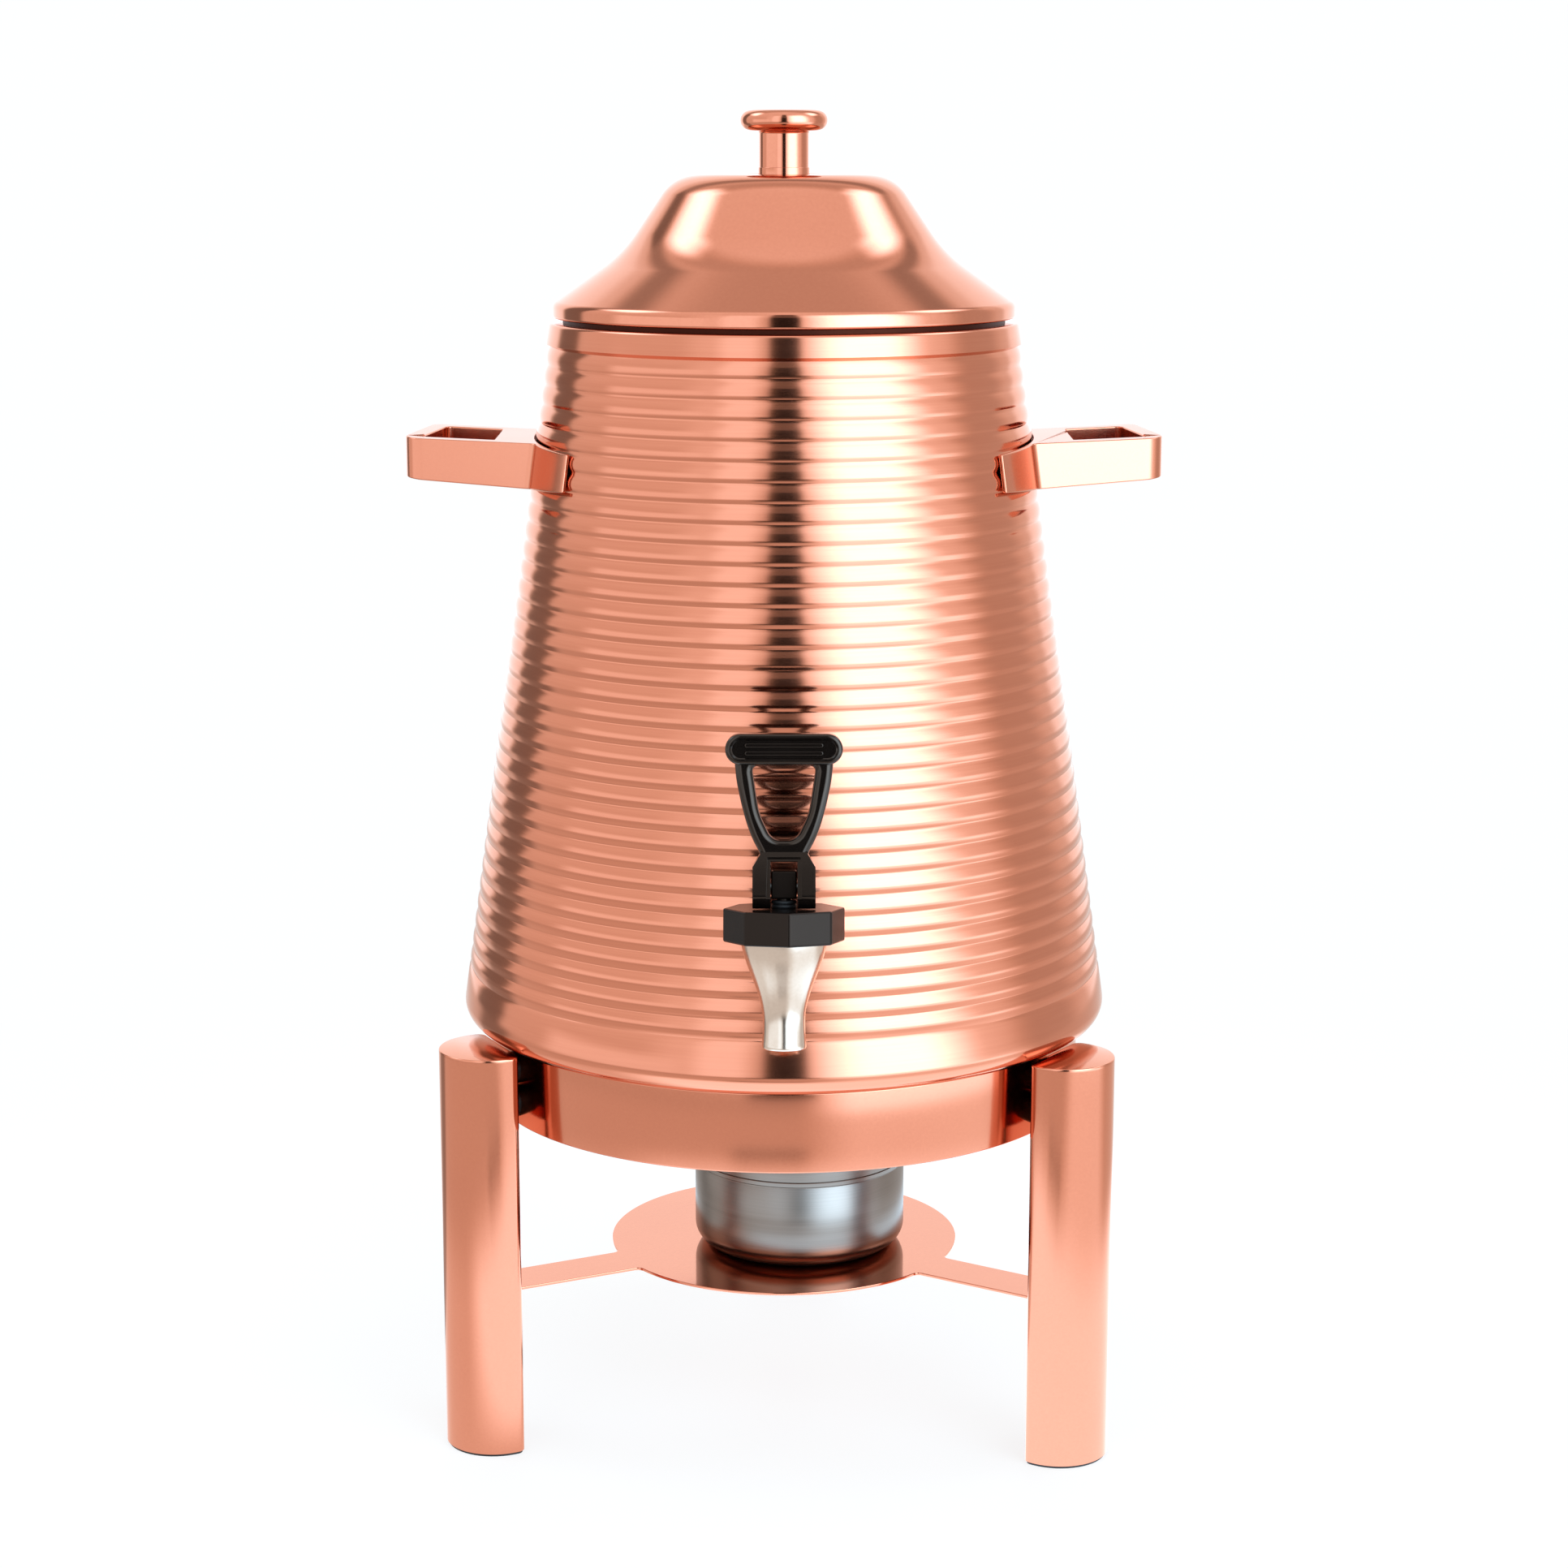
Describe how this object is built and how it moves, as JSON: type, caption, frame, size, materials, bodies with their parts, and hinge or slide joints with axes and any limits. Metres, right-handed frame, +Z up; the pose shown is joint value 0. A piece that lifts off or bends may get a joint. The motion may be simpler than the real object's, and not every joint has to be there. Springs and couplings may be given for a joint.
{
  "type": "drinks_urn",
  "caption": "Ribbed copper drinks urn with a bell lid, loop handles and a black lever tap, on a three-legged stand with a fuel burner",
  "frame": {"origin": "on the ground, below the middle of the whole object's box", "axes": "+Z up, the tap at -Y, +X to the right seen from the tap"},
  "size_m": [0.3254, 0.3602, 0.5728],
  "materials": {
    "polished_copper": "mirror-polished rose copper plating on steel",
    "bright_steel": "satin bright, polished",
    "plain_steel": "plain stainless",
    "brushed_steel": "brushed around",
    "black_gloss": "half gloss, moulded",
    "black_matt": "fine grain",
    "black_rubber": "matt",
    "silicone": "matt, milky"
  },
  "bodies": {
    "stand": {"stand_ring": "polished_copper", "leg_left": "polished_copper", "leg_right": "polished_copper", "leg_back": "polished_copper", "leg_caps": "polished_copper", "foot_pads": "black_rubber", "leg_spacers": "plain_steel", "leg_nut_plates": "plain_steel", "leg_screws": "plain_steel", "burner_shelf": "polished_copper"},
    "urn": {"urn_body": "polished_copper", "urn_base": "polished_copper", "urn_foot": "polished_copper", "handle_left": "polished_copper", "handle_right": "polished_copper", "tap_socket": "polished_copper", "tap_body": "bright_steel", "tap_gasket_outer": "silicone", "tap_gasket_inner": "silicone", "tap_washer": "plain_steel", "tap_nut": "plain_steel", "tap_bonnet": "black_matt", "tap_seal": "silicone", "stem_boot": "black_rubber", "tap_spring": "plain_steel"},
    "stem": {"tap_stem": "black_matt", "seat_cup": "silicone"},
    "lever": {"tap_lever": "black_gloss", "lever_pin": "plain_steel"},
    "lid": {"lid_shell": "polished_copper", "lid_skirt": "polished_copper", "lid_knob": "polished_copper", "knob_washer": "plain_steel", "knob_screw": "plain_steel"},
    "burner": {"burner_cup": "brushed_steel"},
    "cover": {"burner_cover": "brushed_steel", "damper_rivet": "plain_steel"},
    "damper": {"burner_damper": "brushed_steel", "damper_knob": "black_gloss"}
  },
  "joints": [
    {"name": "urn_lift", "type": "slide", "parent": "stand", "child": "urn", "axis": [0, 0, 1], "range_m": [0, 0.1]},
    {"name": "lid_lift", "type": "slide", "parent": "urn", "child": "lid", "axis": [0, 0, 1], "range_m": [0, 0.12]},
    {"name": "stem_lift", "type": "slide", "parent": "urn", "child": "stem", "axis": [0, 0.1386, 0.9903], "range_m": [0, 0.0042], "stiffness_N_per_m": 200, "springref_m": -0.002, "deforming": ["tap_spring"]},
    {"name": "lever_tilt", "type": "hinge", "parent": "stem", "child": "lever", "pos_m": [0, -0.15328, 0.27384], "axis": [1, 0, 0], "range_deg": [0, 40]},
    {"name": "burner_slide", "type": "slide", "parent": "stand", "child": "burner", "axis": [0, -1, 0], "range_m": [0, 0.2]},
    {"name": "burner_cover_lift", "type": "slide", "parent": "burner", "child": "cover", "axis": [0, 0, 1], "range_m": [0, 0.03]},
    {"name": "damper_swing", "type": "hinge", "parent": "cover", "child": "damper", "pos_m": [0.038, 0.01265, 0.1242], "axis": [0, 0, 1], "range_deg": [0, 75]}
  ],
  "couplings": [
    {"joint": "stem_lift", "follows": "lever_tilt", "m_per_rad": 0.006}
  ]
}
